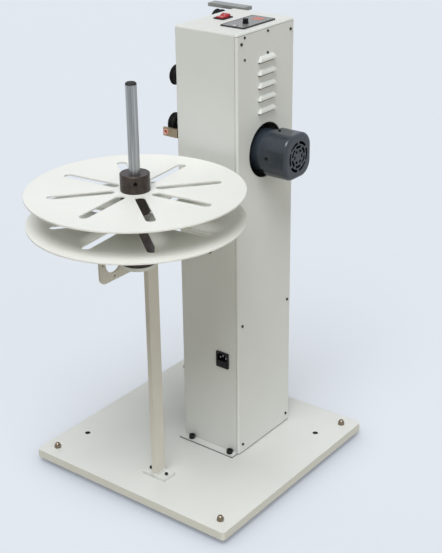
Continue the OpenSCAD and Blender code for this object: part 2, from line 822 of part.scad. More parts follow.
module inlet_pins() {
  color(steel) pin_places() translate([0, 0, 7.5]) cube([2, 4, 15], center = true);
}

module fuse_drawer() {
  lip = 0.8;
  color([0.1, 0.1, 0.11]) translate([inlet_x, face_in - inlet_t, fuse_z]) difference() {
    translate([-fuse_w / 2, -lip, -fuse_h / 2]) cube([fuse_w, fuse_deep - 1 + lip, fuse_h]);
    translate([0, -lip, 0]) cube([8, 2, 3], center = true);
    translate([-fuse_w / 2 + 2, 4, -fuse_h / 2 + 2]) cube([fuse_w - 4, fuse_deep - 7, fuse_h]);
  }
}

// Control board behind the side cover

module control_board() {
  board_x = face_motor - sheet_t - standoff_l - board_t;
  y0 = board_y[0] - board_edge;
  z0 = board_z[0] - board_edge;
  color([0.1, 0.35, 0.2]) difference() {
    union() {
      translate([board_x, y0, z0])
        cube([board_t, board_y[1] - board_y[0] + 2 * board_edge, board_z[1] - board_z[0] + 2 * board_edge]);
      for (k = [0 : 2])
        translate([board_x - 2, y0 + 16 + 18 * k, z0 + 18]) cube([2.2, 12, 14]);
    }
    board_places() cylinder(d = board_screw_d + 2 * fit_gap, h = 60, center = true);
  }
}

module board_standoffs() {
  color(steel) board_places() translate([0, 0, -sheet_t - standoff_l]) difference() {
    cylinder(d = 7, h = standoff_l);
    translate([0, 0, -cut]) cylinder(d = board_screw_d + 2 * fit_gap, h = standoff_l + 2 * cut);
  }
}

// Motor, seen along X

module gear_bolt_places() {
  for (sy = [-1, 1], sz = [-1, 1])
    translate([face_work, col_y + sy * gear_bolt_at, motor_z + sz * gear_bolt_at])
      rotate([0, -90, 0]) children();
}

module square_along_x(x0, x1, side, r) {
  translate([x0, col_y, motor_z]) rotate([0, 90, 0]) linear_extrude(x1 - x0) rounded_rect(side, side, r);
}

module gearbox() {
  color(motor_grey) difference() {
    union() {
      square_along_x(gear_x0, gear_x1, motor_side, 6);
      rod_x(gear_x0 - sheet_t - 2, gear_x0, col_y, drive_z, boss_d);
    }
    rod_x(gear_x0 - 10, gear_x0 + 40, col_y, drive_z, shaft_d + 2 * run_gap);
    gear_bolt_places() translate([0, 0, -gear_bolt_l - 2]) cylinder(d = gear_bolt_d + 2 * fit_gap, h = gear_bolt_l + 10);
  }
}

module gearbox_bolts() {
  color(black) gear_bolt_places() socket_bolt(gear_bolt_d, gear_bolt_l);
}

module motor_body() {
  flange_l = 8;
  color(motor_grey) difference() {
    union() {
      square_along_x(gear_x1, gear_x1 + flange_l, motor_side, 6);
      rod_x(gear_x1 + flange_l, motor_x1, col_y, motor_z, motor_d);
    }
    rod_x(motor_x1 - 40, motor_x1 + cut, col_y, motor_z, rotor_d + 2 * run_gap);
    fan_screw_places() cylinder(d = 3 + 2 * fit_gap, h = 12, center = true);
  }
}

module fan_screw_places() {
  for (a = [0 : 90 : 270])
    translate([fan_x0 + 8, col_y, motor_z]) rotate([a, 0, 0]) translate([0, 0, fan_side / 2])
      children();
}

module fan_cover() {
  inner = fan_side - 2 * fan_wall;
  ring_w = 5.5;
  ring_step = 8;
  ring_0 = 9;
  spoke_w = 5;
  color(motor_grey) difference() {
    translate([fan_x0, col_y, motor_z]) rotate([0, 90, 0])
      soft_square(fan_side, fan_cover_l, fan_corner, fan_edge);
    translate([fan_x0 - cut, col_y, motor_z]) rotate([0, 90, 0])
      soft_square(inner, fan_cover_l - fan_wall + cut, fan_corner - fan_wall, fan_edge - fan_wall);
    for (k = [0 : 2]) difference() {
      rod_x(motor_end - 2 * fan_wall, motor_end + cut, col_y, motor_z,
        2 * (ring_0 + k * ring_step + ring_w));
      rod_x(motor_end - 3 * fan_wall, motor_end + 2 * cut, col_y, motor_z,
        2 * (ring_0 + k * ring_step));
      for (a = [0 : 60 : 179])
        translate([motor_end, col_y, motor_z]) rotate([a + 30 * k, 0, 0])
          cube([6 * fan_wall, spoke_w, 2 * fan_side], center = true);
    }
    fan_screw_places() cylinder(d = 3 + 2 * fit_gap, h = 12, center = true);
  }
}

module fan_cover_screws() {
  color(black) fan_screw_places() pan_screw(3, fan_wall + 3);
}

module rotor_shaft() {
  color(steel) rod_x(motor_x1 - 38, motor_end - 8, col_y, motor_z, rotor_d);
}

module cooling_fan() {
  fan_z = motor_x1 + 5;
  blade_n = 9;
  color(black) translate([fan_z, col_y, motor_z]) rotate([0, 90, 0]) difference() {
    union() {
      cylinder(d = 26, h = 14);
      cylinder(d = fan_d, h = 2);
      for (k = [0 : blade_n - 1]) rotate(k * 360 / blade_n)
        translate([8, -1, 0]) cube([fan_d / 2 - 9, 2, 14]);
    }
    translate([0, 0, -cut]) cylinder(d = rotor_d + 2 * fit_gap, h = 30);
  }
}

// Drive wheel

module output_shaft() {
  color(steel) rod_x(wire_x - drive_w / 2 - 3, gear_x0 + 38, col_y, drive_z, shaft_d);
}

module drive_hub() {
  hub_d = drive_d - 2 * tyre_t;
  web = 5;
  color(steel) translate([wire_x - drive_w / 2, col_y, drive_z]) rotate([0, 90, 0]) difference() {
    union() {
      difference() {
        cylinder(d = hub_d, h = drive_w);
        cylinder(d = hub_d - 8, h = 3 * drive_w, center = true);
      }
      translate([0, 0, (drive_w - web) / 2]) cylinder(d = hub_d - 6, h = web);
      cylinder(d = shaft_d + 15, h = drive_w);
    }
    translate([0, 0, -cut]) cylinder(d = shaft_d + 2 * fit_gap, h = 2 * drive_w);
    for (a = [0 : 60 : 359]) rotate(a) translate([(hub_d + shaft_d + 7) / 4, 0, -cut])
      cylinder(d = (hub_d - shaft_d - 23) / 2 - 4, h = 2 * drive_w);
  }
}

module drive_tyre() {
  r0 = drive_d / 2 - tyre_t;
  r1 = drive_d / 2;
  color(black) translate([wire_x - drive_w / 2, col_y, drive_z]) rotate([0, 90, 0])
    rotate_extrude() polygon([
      [r0, 0], [r1 - 1, 0], [r1, 1], [r1, drive_w / 2 - 2], [r1 - 1.5, drive_w / 2],
      [r1, drive_w / 2 + 2], [r1, drive_w - 1], [r1 - 1, drive_w], [r0, drive_w]
    ]);
}

// Guide pulleys on their shoulder axles; a place is [y, z]

module pulley(p) {
  r = pulley_d / 2;
  w = pulley_w / 2;
  bore = journal_d / 2 + run_gap;
  color(black) translate([wire_x, p[0], p[1]]) rotate([0, 90, 0]) rotate_extrude() polygon([
    [bore, -w], [bore + 5, -w], [bore + 5, -w + 1.5], [r - groove - 3, -w + 1.5],
    [r - groove - 1.5, -w], [r - 1, -w], [r, -w + 1], [r, -w + 2],
    [r - groove, -1], [r - groove, 1],
    [r, w - 2], [r, w - 1], [r - 1, w], [r - groove - 1.5, w],
    [r - groove - 3, w - 1.5], [bore + 5, w - 1.5], [bore + 5, w], [bore, w]
  ]);
}

module entry_pulley() { pulley(entry_at); }
module rise_pulley() { pulley(rise_at); }
module exit_pulley() { pulley(exit_at); }

// Axle with a root boss, a journal and a head: x0 is the seat, x1 the inner end of the stem
module shoulder_axle(p, x0, x1) {
  w = pulley_w / 2 + face_gap;
  rod_x(x0 - cut, x1, p[0], p[1], stem_d);
  rod_x(wire_x + w, x0, p[0], p[1], journal_d + 6);
  rod_x(wire_x - w, wire_x + w, p[0], p[1], journal_d);
  rod_x(wire_x - w - head_t, wire_x - w, p[0], p[1], journal_d + 6);
}

module guide_axles() {
  color(steel) for (p = guide_places) {
    shoulder_axle(p, face_work, wall_work + 12);
    difference() {
      rod_x(wall_work, wall_work + 6.5, p[0], p[1], 13 / cos(30), $fn = 6);
      rod_x(wall_work - cut, wall_work + 8, p[0], p[1], stem_d - 0.01);
    }
  }
}

// Bar with the entry eyelet, folded onto the working face

module eyelet_screw_places() {
  for (s = [-1, 1])
    translate([face_work - 3, face_in + bar_t + 5, eyelet_z + s * 4.5])
      rotate([0, -90, 0]) children();
}

module eyelet_bar() {
  bar_end = 7;
  color(paint) difference() {
    union() {
      translate([wire_x - bar_end, face_in, eyelet_z - bar_h / 2])
        cube([wire_off + bar_end, bar_t, bar_h]);
      translate([face_work - 3, face_in, eyelet_z - bar_h / 2]) cube([3, bar_t + 10, bar_h]);
    }
    rod_y(face_in - cut, face_in + bar_t + cut, wire_x, eyelet_z, eyelet_d + 2 * fit_gap);
    eyelet_screw_places() cylinder(d = panel_screw_d + 2 * fit_gap, h = 20, center = true);
  }
}

module eyelet() {
  r0 = eyelet_d / 2 - 2.2;
  r1 = eyelet_d / 2;
  color([0.88, 0.8, 0.76]) translate([wire_x, face_in + bar_t, eyelet_z]) rotate([90, 0, 0])
    rotate_extrude() difference() {
      polygon([
        [r0, -0.5], [r1, -0.5], [r1, bar_t], [r1 + 0.8, bar_t],
        [r1 + 0.8, bar_t + 1], [r1, bar_t + 1.5], [r0, bar_t + 1.5]
      ]);
      translate([r0 - 0.6, bar_t + 1.5]) circle(1.6);
    }
}

module keeper_pin() {
  color(steel) {
    rod_x(wire_x - pulley_w / 2, face_work, keeper_at[0], keeper_at[1], keeper_d);
    rod_x(face_work - 3, face_work, keeper_at[0], keeper_at[1], keeper_d + 3);
    rod_x(face_work - cut, wall_work + 4, keeper_at[0], keeper_at[1], keeper_d);
  }
}

// Plate over the exit pulley, on a leg against the back of the column

module exit_screw_places() {
  for (z = [-18, -34])
    translate([face_work + exit_leg / 2, face_out + exit_plate_t, col_top + z])
      rotate([-90, 0, 0]) children();
}

module exit_bracket() {
  plate_z = col_top - 4;
  leg_drop = 45;
  color([0.6, 0.62, 0.63]) difference() {
    union() {
      translate([wire_x - exit_reach, face_out, plate_z])
        cube([wire_off + exit_reach + exit_leg, exit_plate_w, exit_plate_t]);
      translate([face_work, face_out, plate_z - leg_drop])
        cube([exit_leg, exit_plate_t, leg_drop + cut]);
    }
    exit_screw_places() cylinder(d = panel_screw_d + 2 * fit_gap, h = 40, center = true);
  }
}

module exit_screws() {
  color(dark_steel) exit_screw_places() pan_screw(panel_screw_d, exit_plate_t + sheet_t + 4);
}

// Dancer arm

module dancer_housing() {
  color(black) difference() {
    union() {
      rod_x(face_work - 4, face_work, dancer_at[0], dancer_at[1], 50);
      rod_x(face_work - boss_len, face_work, dancer_at[0], dancer_at[1], 28);
      rod_x(face_work - cut, wall_work + 6, dancer_at[0], dancer_at[1], dancer_shaft_d + 7.6);
    }
    rod_x(face_work - 40, wall_work + 40, dancer_at[0], dancer_at[1], dancer_shaft_d + 2 * run_gap);
  }
}

module dancer_shaft() {
  color(steel) {
    rod_x(arm_x0 - 0.5, wall_work + 20, dancer_at[0], dancer_at[1], dancer_shaft_d);
    rod_x(arm_x0 - 5, arm_x0, dancer_at[0], dancer_at[1], dancer_shaft_d + 8);
  }
}

// Places along the resting arm
module on_arm() {
  translate([0, dancer_at[0], dancer_at[1]]) rotate([-arm_rest, 0, 0]) children();
}

module dancer_arm() {
  hub_d = arm_w + 8;
  color([0.7, 0.71, 0.72]) on_arm() difference() {
    union() {
      translate([arm_x0, 0, -arm_w / 2]) cube([arm_t, arm_l, arm_w]);
      rod_x(arm_x0, arm_x1, 0, 0, hub_d);
      rod_x(arm_x0, arm_x1, arm_l, 0, arm_w);
    }
    rod_x(arm_x0 - cut, arm_x1 + cut, 0, 0, dancer_shaft_d + 2 * fit_gap);
    rod_x(arm_x0 - cut, arm_x1 + cut, arm_l, 0, stem_d + 2 * fit_gap);
    for (k = [1 : 3]) rod_x(arm_x0 - cut, arm_x1 + cut, arm_l * (0.2 + 0.2 * k), 0, arm_w / 2);
  }
}

module dancer_axle() {
  color(steel) shoulder_axle(dancer_end, arm_x0, arm_x1 + 5);
}

module dancer_pulley() { pulley(dancer_end); }

module stop_pegs() {
  color(black) for (p = [peg_low, peg_high]) {
    rod_x(arm_x0, face_work, p[0], p[1], peg_d);
    rod_x(face_work - cut, wall_work + 5, p[0], p[1], gear_bolt_d);
  }
}

module angle_sensor() {
  sensor_d = 32;
  sensor_x = wall_work + 6;
  color([0.15, 0.15, 0.17]) difference() {
    union() {
      rod_x(sensor_x, sensor_x + 18, dancer_at[0], dancer_at[1], sensor_d);
      translate([sensor_x + 4, dancer_at[0] - 6, dancer_at[1] - sensor_d / 2 - 8]) cube([10, 12, 12]);
    }
    rod_x(sensor_x - cut, sensor_x + 15, dancer_at[0], dancer_at[1], dancer_shaft_d + 2 * run_gap);
  }
}

// Post: one flat plate with a flag-shaped head, on a screwed foot

module post() {
  bolt_r = head_hole_d / 2 + 7.5;
  color(paint) difference() {
    union() {
      translate([post_x0, post_y0, post_z]) cube([post_t, post_w, head_z1 - post_z]);
      translate([head_x0, head_y0 + head_r, head_z0])
        cube([head_plate_t, post_y1 - head_y0 - head_r, head_h]);
      translate([head_x0, head_y0, head_z0 + head_r])
        cube([head_plate_t, post_y1 - head_y0, head_h - 2 * head_r]);
      for (z = [head_z0 + head_r, head_z1 - head_r])
        rod_x(head_x0, post_x1, head_y0 + head_r, z, 2 * head_r);
      translate([head_x0, 0, 0]) rotate([90, 0, 90]) linear_extrude(head_plate_t) polygon([
        [post_y, head_z0 + cut], [post_y, head_z0 - head_rise], [post_y0, head_z0 - head_rise],
        [reel_y + head_rise, head_z0], [reel_y + head_rise, head_z0 + cut]
      ]);
    }
    rod_x(post_x0 - cut, post_x1 + cut, head_hole[0], head_hole[1], head_hole_d);
    for (a = [90 : 90 : 270])
      rod_x(post_x0 - cut, post_x1 + cut, head_hole[0] + bolt_r * cos(a), head_hole[1] + bolt_r * sin(a), 5);
  }
}

module post_foot() {
  color(paint) difference() {
    translate([post_mid - foot_l / 2, post_y - foot_w / 2, base_top]) cube([foot_l, foot_w, post_foot_t]);
    for (s = [-1, 1])
      rod_z(base_top - cut, post_z + cut, post_mid + s * post_screw_span / 2, post_y,
        post_screw_d + 2 * fit_gap);
  }
}

module post_screws() {
  color(black) for (s = [-1, 1])
    translate([post_mid + s * post_screw_span / 2, post_y, post_z])
      socket_bolt(post_screw_d, post_foot_t + base_t - 3);
}

// Shelf under the bearing housing, cut off where it meets the post's head
module bearing_seat() {
  color(paint) difference() {
    rod_z(seat_z, housing_z, reel_x, reel_y, seat_d);
    translate([post_x1 - seat_d, reel_y - seat_d, seat_z - cut]) cube([seat_d, 2 * seat_d, seat_t + 2 * cut]);
  }
}

// Reel bearings and spindle

module at_reel() {
  translate([reel_x, reel_y, 0]) children();
}

module bearing_housing() {
  color(dark_steel) at_reel() difference() {
    rod_z(housing_z, housing_top, 0, 0, housing_d);
    rod_z(housing_z + 6, housing_z + 6 + bearing_w, 0, 0, bearing_d);
    rod_z(housing_top - bearing_w - 2, housing_top + cut, 0, 0, bearing_d);
    rod_z(housing_z + 4 - face_gap, housing_top, 0, 0, bearing_d - 8);
    rotate(-50) translate([0, 0, housing_z + 12 + bearing_w + 4]) rotate([0, 90, 0])
      cylinder(d = 8, h = housing_d);
  }
}

module spindle_bearings() {
  color(steel) at_reel()
    for (z = [housing_z + 6, housing_top - bearing_w - 2]) translate([0, 0, z])
      rotate_extrude() difference() {
        translate([spindle_d / 2 + run_gap, 0])
          square([(bearing_d - spindle_d) / 2 - run_gap, bearing_w]);
        for (s = [0, 1])
          translate([(bearing_d + spindle_d) / 4 - 2, s * bearing_w - 1]) square([4, 2]);
      }
}

module spindle() {
  tip = 2;
  r = spindle_d / 2;
  color(steel) at_reel() rotate_extrude() polygon([
    [0, spindle_z], [r, spindle_z], [r, spindle_top - tip], [r - tip, spindle_top], [0, spindle_top]
  ]);
}

module lower_hub() {
  color(dark_steel) at_reel() difference() {
    rod_z(hub_z, low_z, 0, 0, housing_d);
    rod_z(hub_z - cut, low_z + cut, 0, 0, spindle_d + 2 * fit_gap);
  }
}

module slotted_disc(z) {
  mid = slot_w / 2;
  color([0.9, 0.91, 0.89]) at_reel() difference() {
    rod_z(z, z + disc_t, 0, 0, disc_d, $fn = 120);
    rod_z(z - cut, z + disc_t + cut, 0, 0, spindle_d + 2 * fit_gap);
    for (k = [0 : slot_n - 1]) rotate(slot_turn + k * 360 / slot_n) {
      for (r = [slot_in + mid, slot_out - mid]) rod_z(z - cut, z + disc_t + cut, r, 0, slot_w);
      translate([slot_in + mid, -mid, z - cut])
        cube([slot_out - slot_in - slot_w, slot_w, disc_t + 2 * cut]);
    }
  }
}

module lower_disc() { slotted_disc(low_z); }
module upper_disc() { slotted_disc(up_z); }

// Collar on the spindle with a radial screw hole
module collar(z0, z1, screw_z) {
  chamfer = 1;
  r0 = spindle_d / 2 + fit_gap;
  r1 = collar_d / 2;
  color(dark_steel) at_reel() difference() {
    rotate_extrude() polygon([
      [r0, z0], [r1 - chamfer, z0], [r1, z0 + chamfer], [r1, z1 - chamfer], [r1 - chamfer, z1], [r0, z1]
    ]);
    screw_place(screw_z) cylinder(d = 8 + 2 * fit_gap, h = collar_d);
  }
}

module screw_place(z) {
  rotate(-47) translate([0, 0, z]) rotate([0, 90, 0]) children();
}

// Headless screw that bears on the spindle
module grub(z) {
  color(black) at_reel() screw_place(z) translate([0, 0, spindle_d / 2 + fit_gap]) difference() {
    cylinder(d = 8, h = 14);
    translate([0, 0, 9]) cylinder(d = 4.6, h = 10, $fn = 6);
  }
}

stop_screw_z = up_z - stop_h / 2;
clamp_screw_z = up_top + collar_h * 0.6;

module stop_collar() { collar(up_z - stop_h, up_z - face_gap, stop_screw_z); }
module stop_screw() { grub(stop_screw_z); }
module clamp_collar() { collar(up_top, up_top + collar_h, clamp_screw_z); }
module clamp_screw() { grub(clamp_screw_z); }

base_plate();
rubber_feet();
foot_studs();
cap_nuts();
column_shell();
side_cover();
panel_screws();
column_bolts();
switch_bezel();
switch_rocker();
controller_body();
controller_face();
speed_knob();
run_slider();
inlet_body();
inlet_pins();
fuse_drawer();
control_board();
board_standoffs();
gearbox();
gearbox_bolts();
motor_body();
fan_cover();
fan_cover_screws();
rotor_shaft();
cooling_fan();
output_shaft();
drive_hub();
drive_tyre();
entry_pulley();
rise_pulley();
exit_pulley();
guide_axles();
eyelet_bar();
eyelet();
keeper_pin();
exit_bracket();
exit_screws();
dancer_housing();
dancer_shaft();
dancer_arm();
dancer_axle();
dancer_pulley();
stop_pegs();
angle_sensor();
post();
post_foot();
bearing_seat();
post_screws();
bearing_housing();
spindle_bearings();
spindle();
lower_hub();
lower_disc();
stop_collar();
stop_screw();
upper_disc();
clamp_collar();
clamp_screw();
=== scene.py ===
import json
import math

import bmesh
import bpy
from mathutils import Matrix, Vector

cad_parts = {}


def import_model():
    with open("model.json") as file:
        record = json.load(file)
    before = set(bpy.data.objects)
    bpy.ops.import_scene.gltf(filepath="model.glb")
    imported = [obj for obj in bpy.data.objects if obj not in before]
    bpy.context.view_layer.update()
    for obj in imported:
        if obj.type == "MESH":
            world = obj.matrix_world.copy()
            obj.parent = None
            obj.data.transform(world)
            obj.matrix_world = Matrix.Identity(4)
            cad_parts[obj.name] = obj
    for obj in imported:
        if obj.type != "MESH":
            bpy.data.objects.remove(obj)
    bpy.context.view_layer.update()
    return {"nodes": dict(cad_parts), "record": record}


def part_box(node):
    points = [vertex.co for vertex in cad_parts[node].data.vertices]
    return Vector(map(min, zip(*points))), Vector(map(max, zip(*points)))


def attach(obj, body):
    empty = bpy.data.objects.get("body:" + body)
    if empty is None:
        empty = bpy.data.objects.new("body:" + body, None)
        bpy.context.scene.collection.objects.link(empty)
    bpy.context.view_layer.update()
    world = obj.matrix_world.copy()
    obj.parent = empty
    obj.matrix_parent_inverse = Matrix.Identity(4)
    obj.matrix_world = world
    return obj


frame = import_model()
NODES = frame["nodes"]
RECORD = frame["record"]
MM = 0.001
UP = Vector((0.0, 0.0, 1.0))

# Colours


def srgb(red, green, blue):
    """A colour written in 0 to 255 display values, as linear light."""

    def channel(value):
        value = value / 255
        if value <= 0.04045:
            return value / 12.92
        return ((value + 0.055) / 1.055) ** 2.4

    return (channel(red), channel(green), channel(blue), 1.0)


def shade(colour, factor):
    """The same colour, lighter or darker."""
    return tuple(min(1.0, part * factor) for part in colour[:3]) + (1.0,)


CREAM = srgb(222, 224, 220)
DISC = srgb(238, 239, 234)
# The colour of the painted shade in seams, corners and holes
SEAM_SHADE = srgb(70, 66, 57)
UNDERCOAT = srgb(168, 160, 138)
# The darker, warmer colour of the painted shade on upright sides
SIDE_SHADE = srgb(210, 206, 188)
# The grey of wire wear and of painted shade between the reel discs
RUBBED_AND_SHADE = srgb(186, 187, 175)
DULL_END = srgb(62, 60, 58)
FLOOR_OPEN = srgb(230, 235, 243)
FLOOR_NEAR = srgb(186, 192, 202)
FLOOR_BOUNCE = srgb(178, 174, 160)
GLOW_OPEN = srgb(220, 226, 233)
GLOW_NEAR = srgb(176, 182, 193)
BACKDROP = srgb(226, 231, 239)
WARM_SKY = (1.0, 0.98, 0.93, 1.0)

# Node helpers

# Places of the colour sockets in a Mix node
MIX_FIRST = 6
MIX_SECOND = 7
MIX_RESULT = 2


class Nodes:
    """A node tree and short calls for what goes into it."""

    def __init__(self, tree):
        self.tree = tree

    def add(self, kind, **settings):
        node = self.tree.nodes.new(kind)
        for key, value in settings.items():
            setattr(node, key, value)
        return node

    def link(self, source, target):
        self.tree.links.new(source, target)

    def feed(self, socket, value):
        """Link an output to a socket, or set a constant on it."""
        if isinstance(value, bpy.types.NodeSocket):
            self.link(value, socket)
        else:
            socket.default_value = value

    def ramp(self, source, low, high, start=0.3, end=0.7):
        """A number spread from low to high as the source goes from start to end."""
        node = self.add("ShaderNodeMapRange")
        node.inputs["From Min"].default_value = start
        node.inputs["From Max"].default_value = end
        node.inputs["To Min"].default_value = low
        node.inputs["To Max"].default_value = high
        self.link(source, node.inputs["Value"])
        return node.outputs["Result"]

    def mix(self, factor, first, second):
        """A colour between two, each one a colour or an output."""
        node = self.add("ShaderNodeMix", data_type="RGBA")
        self.link(factor, node.inputs["Factor"])
        self.feed(node.inputs[MIX_FIRST], first)
        self.feed(node.inputs[MIX_SECOND], second)
        return node.outputs[MIX_RESULT]

    def blend(self, factor, first, second):
        """A shader between two."""
        node = self.add("ShaderNodeMixShader")
        self.link(factor, node.inputs["Fac"])
        self.link(first, node.inputs[1])
        self.link(second, node.inputs[2])
        return node.outputs["Shader"]

    def combine(self, operation, first, second):
        """One number from an output and a second output or constant."""
        node = self.add("ShaderNodeMath", operation=operation)
        self.link(first, node.inputs[0])
        self.feed(node.inputs[1], second)
        return node.outputs["Value"]

    def both(self, first, second):
        """The product of two masks."""
        return self.combine("MULTIPLY", first, second)

    def seen_directly(self):
        """1 for what the camera, a mirror or a clear body looks at, 0 for what only lights the object."""
        path = self.add("ShaderNodeLightPath")
        seen = self.combine("MAXIMUM", path.outputs["Is Camera Ray"], path.outputs["Is Glossy Ray"])
        return self.combine("MAXIMUM", seen, path.outputs["Is Transmission Ray"])


class Paintbox(Nodes):
    """One material, and short calls for the marks on its surface."""

    def __init__(self, name):
        self.material = bpy.data.materials.new(name)
        self.material.use_nodes = True
        super().__init__(self.material.node_tree)
        self.shader = self.tree.nodes["Principled BSDF"]
        self.coords = self.add("ShaderNodeTexCoord").outputs["Object"]

    def noise(self, scale, detail=2.0, roughness=0.5):
        """Noise over the object's own coordinates; scale is one number or one for each axis, per metre."""
        source = self.coords
        if not isinstance(scale, (int, float)):
            mapping = self.add("ShaderNodeMapping")
            mapping.inputs["Scale"].default_value = scale
            self.link(source, mapping.inputs["Vector"])
            source = mapping.outputs["Vector"]
            scale = 1.0
        node = self.add("ShaderNodeTexNoise")
        node.inputs["Scale"].default_value = scale
        node.inputs["Detail"].default_value = detail
        node.inputs["Roughness"].default_value = roughness
        self.link(source, node.inputs["Vector"])
        return node.outputs["Fac"]

    def mottled(self, colour, darker, lighter, **grain):
        """A colour that drifts between two of its shades."""
        cloud = self.ramp(self.noise(**grain), 0.0, 1.0)
        return self.mix(cloud, shade(colour, darker), shade(colour, lighter))

    def uneven(self, rough, less, more, scale):
        """A roughness that drifts from less below its value to more above it."""
        return self.ramp(self.noise(scale, detail=3.0), rough - less, rough + more)

    def edges(self, radius):
        """The rounded normal near edges, and a mask that is 1 there and 0 on flat faces."""
        bevel = self.add("ShaderNodeBevel", samples=4)
        bevel.inputs["Radius"].default_value = radius
        geometry = self.add("ShaderNodeNewGeometry")
        dot = self.add("ShaderNodeVectorMath", operation="DOT_PRODUCT")
        self.link(bevel.outputs["Normal"], dot.inputs[0])
        self.link(geometry.outputs["Normal"], dot.inputs[1])
        mask = self.ramp(dot.outputs["Value"], 1.0, 0.0, start=0.75, end=0.99)
        return bevel.outputs["Normal"], mask

    def crevice(self, distance):
        """A mask that is 1 deep in corners, seams and holes, and 0 in the open."""
        node = self.add("ShaderNodeAmbientOcclusion", samples=6)
        node.inputs["Distance"].default_value = distance
        return self.ramp(node.outputs["AO"], 1.0, 0.0, start=0.12, end=0.55)

    def height(self):
        """How high a point is in the object's own coordinates, in metres."""
        node = self.add("ShaderNodeSeparateXYZ")
        self.link(self.coords, node.inputs["Vector"])
        return node.outputs["Z"]

    def facing_up(self):
        """The upright share of the face's direction: 1 looks up, -1 looks down."""
        node = self.add("ShaderNodeSeparateXYZ")
        self.link(self.add("ShaderNodeNewGeometry").outputs["Normal"], node.inputs["Vector"])
        return node.outputs["Z"]

    def reach(self, middle):
        """How far a point is from the upright line through middle, in metres."""
        offset = self.add("ShaderNodeVectorMath", operation="SUBTRACT")
        offset.inputs[1].default_value = (middle.x, middle.y, 0.0)
        self.link(self.coords, offset.inputs[0])
        level = self.add("ShaderNodeVectorMath", operation="MULTIPLY")
        level.inputs[1].default_value = (1.0, 1.0, 0.0)
        self.link(offset.outputs["Vector"], level.inputs[0])
        length = self.add("ShaderNodeVectorMath", operation="LENGTH")
        self.link(level.outputs["Vector"], length.inputs[0])
        return length.outputs["Value"]

    def bump(self, height, strength, distance, normal):
        """A normal that follows a height pattern on top of another normal."""
        node = self.add("ShaderNodeBump")
        node.inputs["Strength"].default_value = strength
        node.inputs["Distance"].default_value = distance
        self.link(height, node.inputs["Height"])
        self.link(normal, node.inputs["Normal"])
        return node.outputs["Normal"]

    def finish(self, colour, rough, normal, **constants):
        """The finished material; a constant's name is its socket's, with _ for each space."""
        self.link(colour, self.shader.inputs["Base Color"])
        self.link(rough, self.shader.inputs["Roughness"])
        self.link(normal, self.shader.inputs["Normal"])
        for key, value in constants.items():
            self.shader.inputs[key.replace("_", " ")].default_value = value
        return self.material


# Kinds of surface


def powder_coat(name, colour, rough=0.42, shade_layer=None):
    """Baked powder paint: orange peel, faint cloudiness, thin chipped edges, and painted shade darkening
    the seams, corners and holes.
    """
    box = Paintbox(name)
    rounded, at_edge = box.edges(radius=1.2 * MM)
    tone = box.mottled(colour, darker=0.965, lighter=1.015, scale=5.0, detail=3.0)
    specks = box.ramp(box.noise(scale=900.0, detail=1.0), 0.0, 1.0, start=0.66, end=0.74)
    paint = box.mix(specks, tone, shade(colour, 0.93))
    # A shade layer, if given, paints shade onto the paint; on the reel discs it is wear as well
    if shade_layer is not None:
        paint = shade_layer(box, paint)
    worn = box.mix(at_edge, paint, shade(colour, 1.06))
    flakes = box.noise(scale=110.0, detail=4.0, roughness=0.7)
    chips = box.both(at_edge, box.ramp(flakes, 0.0, 0.8, start=0.60, end=0.70))
    chipped = box.mix(chips, worn, UNDERCOAT)
    # Painted shade: where the occlusion mask finds a corner, seam or hole, the paint is darkened
    seam_shaded = box.mix(box.crevice(distance=5 * MM), chipped, SEAM_SHADE)
    gloss = box.uneven(rough, less=0.05, more=0.07, scale=60.0)
    skin = box.bump(box.noise(scale=420.0), strength=0.1, distance=0.3 * MM, normal=rounded)
    return box.finish(seam_shaded, gloss, skin, Specular_IOR_Level=0.45)


def shaded_sides(box, paint):
    """For a plate: its upright sides painted darker and warmer than its top, as painted shade."""
    sides = box.ramp(box.facing_up(), 0.4, 0.0, start=0.3, end=0.8)
    return box.mix(sides, paint, SIDE_SHADE)


def rubbed_and_shaded_face(middle, looks_up):
    """For a reel disc: its inner face turned grey towards the hub, as wear rubbed by the wire and as
    painted shade between the two discs; cleaner towards the rim.
    """
    direction = 1 if looks_up else -1

    def shade_layer(box, paint):
        inner_face = box.ramp(box.facing_up(), 0.0, 1.0, start=0.3 * direction, end=0.8 * direction)
        worn_and_shaded_zone = box.ramp(box.reach(middle), 0.9, 0.0, start=80 * MM, end=180 * MM)
        streaks = box.ramp(box.noise(scale=28.0, detail=4.0, roughness=0.65), 0.8, 1.0)
        return box.mix(box.both(box.both(inner_face, worn_and_shaded_zone), streaks), paint, RUBBED_AND_SHADE)

    return shade_layer


def drawn_bar(name, colour, end_height):
    """A drawn steel bar: streaks along its length, and a dull dark end."""
    box = Paintbox(name)
    rounded, at_edge = box.edges(radius=0.8 * MM)
    streaks = box.noise(scale=(420.0, 420.0, 3.0), detail=4.0, roughness=0.7)
    lightness = box.ramp(streaks, 0.0, 1.0, start=0.38, end=0.62)
    tone = box.mix(lightness, shade(colour, 0.6), shade(colour, 1.2))
    at_end = box.ramp(box.height(), 0.0, 1.0, start=end_height - 5 * MM, end=end_height - 3 * MM)
    dulled = box.mix(at_end, tone, DULL_END)
    rubbed = box.both(at_edge, box.ramp(at_end, 1.0, 0.2, start=0.0, end=1.0))
    bright = box.mix(rubbed, dulled, shade(colour, 1.3))
    gloss = box.ramp(at_end, 0.36, 0.75, start=0.0, end=1.0)
    skin = box.bump(streaks, strength=0.1, distance=0.15 * MM, normal=rounded)
    return box.finish(bright, gloss, skin, Metallic=0.9)


def enamel(name, colour, rough):
    """Sprayed motor enamel over a casting: rolling surface, dull patches, rubbed edges."""
    box = Paintbox(name)
    rounded, at_edge = box.edges(radius=1.5 * MM)
    tone = box.mottled(colour, darker=0.93, lighter=1.07, scale=24.0, detail=4.0)
    worn = box.mix(at_edge, tone, shade(colour, 1.7))
    gloss = box.uneven(rough, less=0.05, more=0.07, scale=90.0)
    skin = box.bump(box.noise(scale=200.0), strength=0.08, distance=0.4 * MM, normal=rounded)
    return box.finish(worn, gloss, skin, Specular_IOR_Level=0.5)


